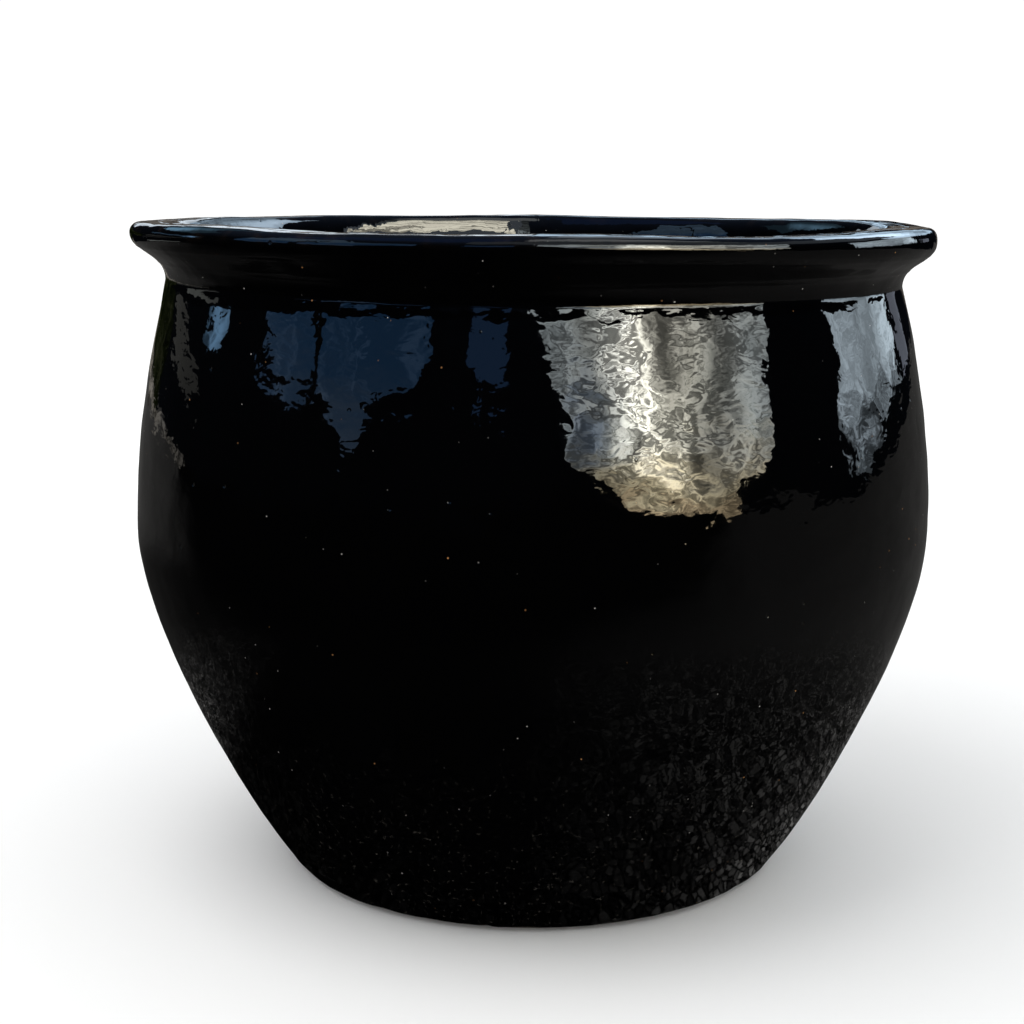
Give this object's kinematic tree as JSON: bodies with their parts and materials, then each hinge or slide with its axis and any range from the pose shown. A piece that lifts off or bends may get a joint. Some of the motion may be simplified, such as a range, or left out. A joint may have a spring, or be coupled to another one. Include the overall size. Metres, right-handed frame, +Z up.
{
  "type": "black clay pot",
  "caption": "Large round-bellied clay pot with a flanged rim, narrow foot, drain hole and thick glossy black glaze over stacked clay courses.",
  "frame": {"origin": "centre of the face that the pot stands on", "axes": "+Z up along the pot's axis of revolution, from the foot to the mouth"},
  "size_m": [0.503, 0.503, 0.408],
  "materials": {
    "clay": "matte",
    "glaze": "gloss"
  },
  "bodies": {
    "root": {"foot_ring": "clay", "floor_slab": "clay", "lower_wall": "clay", "belly_wall": "clay", "shoulder_wall": "clay", "neck_collar": "clay", "rim_roll": "clay", "outer_glaze": "glaze", "inner_glaze": "glaze"}
  },
  "joints": []
}
